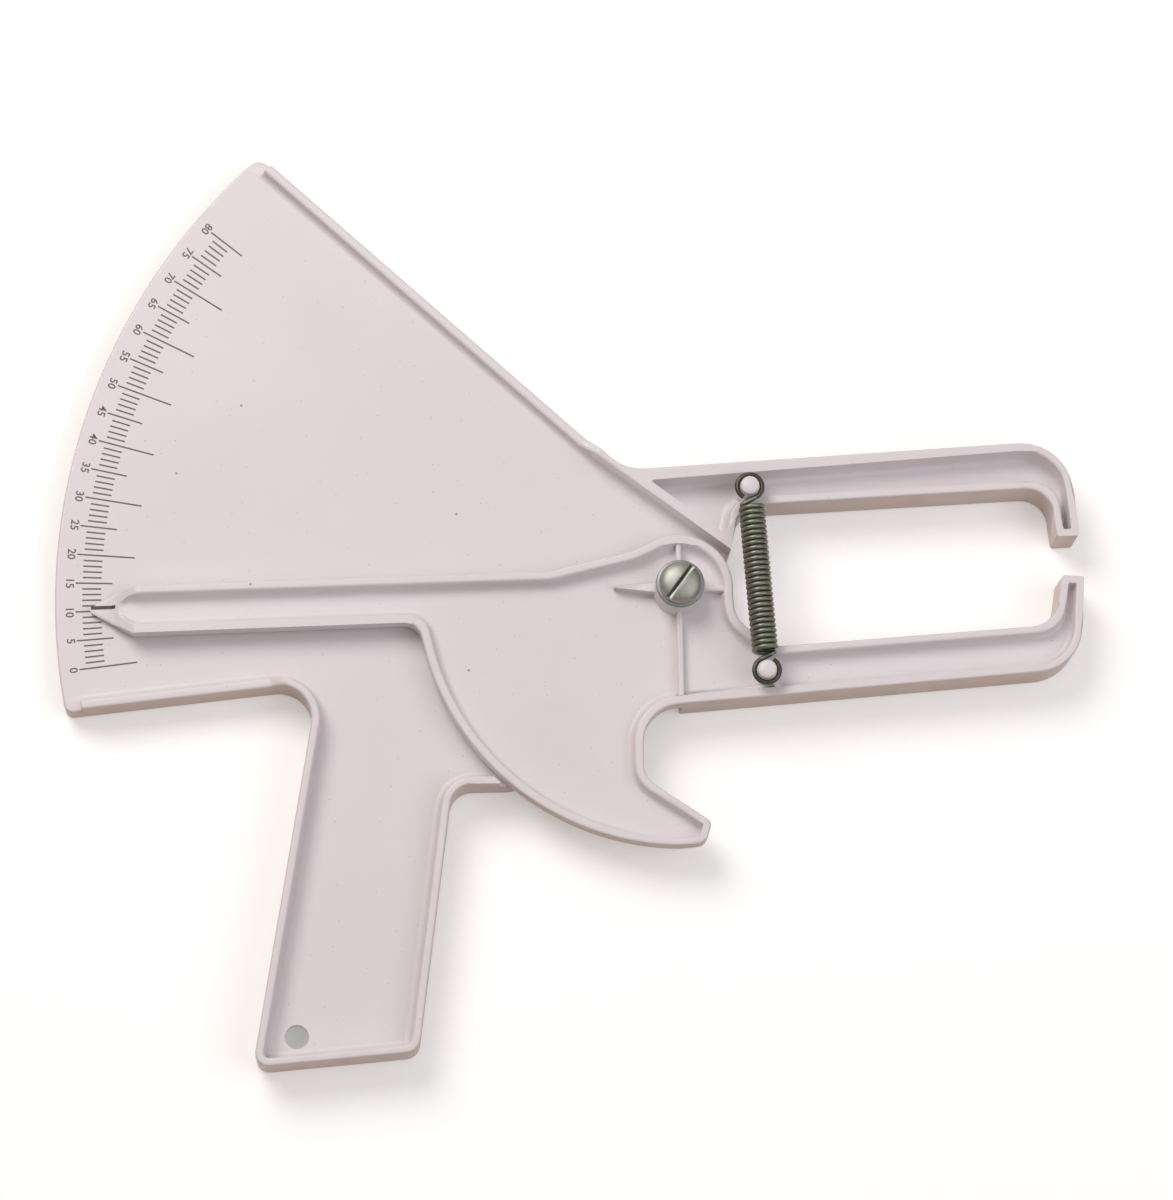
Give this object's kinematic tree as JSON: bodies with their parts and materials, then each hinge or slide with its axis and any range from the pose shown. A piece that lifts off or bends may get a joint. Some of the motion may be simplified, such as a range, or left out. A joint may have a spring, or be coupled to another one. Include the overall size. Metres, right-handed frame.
{
  "type": "skinfold caliper",
  "caption": "Spring-closed skinfold caliper: a scale fan with handle and upper jaw, and a pointer lever with trigger and lower jaw, turning on one slotted screw.",
  "frame": {"origin": "on the surface the caliper lies on, under the middle of its footprint", "axes": "+X towards the jaws, +Y up the scale from 0 to 80, +Z out of the scale's face; the caliper lies on its back"},
  "size_m": [0.2726, 0.2462, 0.0217],
  "materials": {
    "moulded_plastic": "moulded white ABS, semi-gloss, faintly pink",
    "plated_steel": "zinc-plated steel, satin",
    "spring_wire": "drawn spring wire, oiled grey",
    "nylon": "natural nylon"
  },
  "bodies": {
    "frame": {"frame": "moulded_plastic", "pivot_screw": "plated_steel", "front_washer": "plated_steel", "back_washer": "plated_steel", "lock_nut": "plated_steel", "lock_nut_insert": "nylon"},
    "lever": {"lever": "moulded_plastic"},
    "spring": {"spring": "spring_wire"}
  },
  "joints": [
    {"name": "lever_pivot", "type": "hinge", "parent": "frame", "child": "lever", "pos_m": [0.02853, 0.00448, 0.009], "axis": [0, 0, -1], "range_deg": [-5.8, 40.37], "stiffness_Nm_per_rad": 0.45, "springref_deg": -108.86, "deforming": ["spring"]},
    {"name": "spring_swing", "type": "hinge", "parent": "frame", "child": "spring", "pos_m": [0.04707, 0.03106, 0.01795], "axis": [0, 0, -1], "range_deg": [-2.9, 20.2]}
  ],
  "couplings": [
    {"joint": "spring_swing", "follows": "lever_pivot", "ratio": 0.5}
  ]
}
